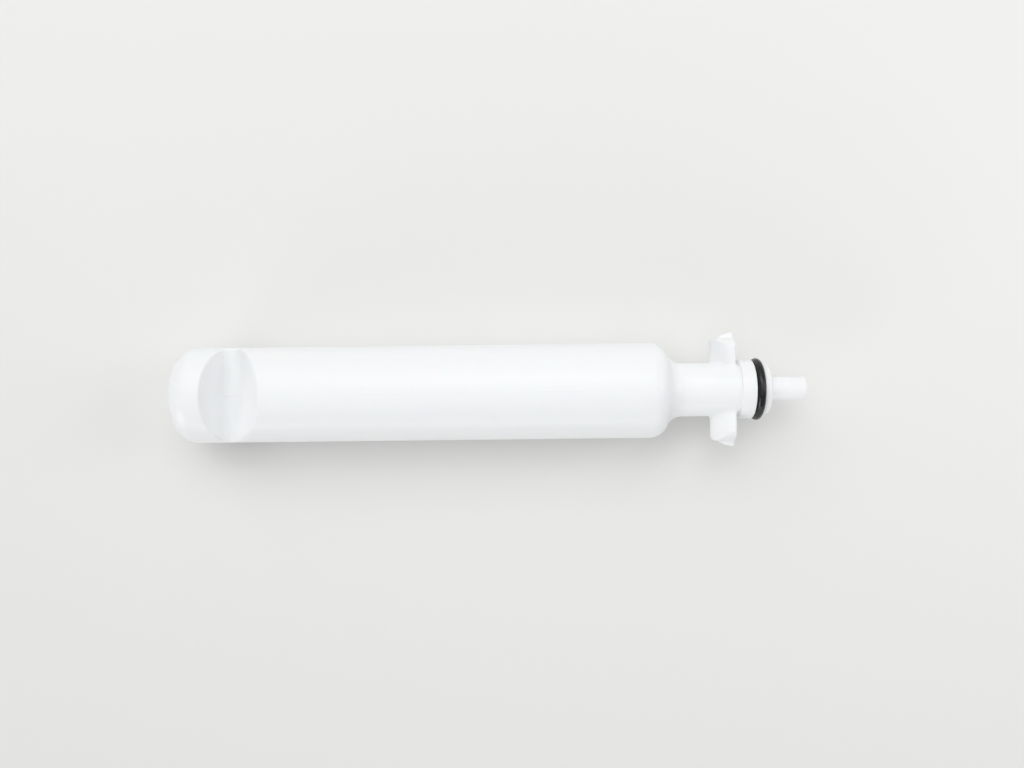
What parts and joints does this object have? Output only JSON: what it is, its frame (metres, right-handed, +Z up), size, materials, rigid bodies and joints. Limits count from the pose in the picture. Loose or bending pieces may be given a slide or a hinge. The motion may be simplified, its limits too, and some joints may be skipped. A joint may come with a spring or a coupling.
{
  "type": "water filter bypass plug",
  "caption": "Round plug that locks into a refrigerator filter head in place of the filter, with finger scoops, locking lugs, a sealing ring and a valve stem.",
  "frame": {"origin": "middle of the part's bounding box at the surface it lies on", "axes": "+X along the plug's axis from the grip end to the stem, +Y to the side where a locking lug points, +Z up from the surface it lies on"},
  "size_m": [0.1824, 0.0328, 0.0276],
  "materials": {
    "white_plastic": "smooth gloss moulded white plastic",
    "black_rubber": "lightly greased black rubber"
  },
  "bodies": {
    "root": {"plug_body": "white_plastic", "o_ring": "black_rubber"}
  },
  "joints": []
}
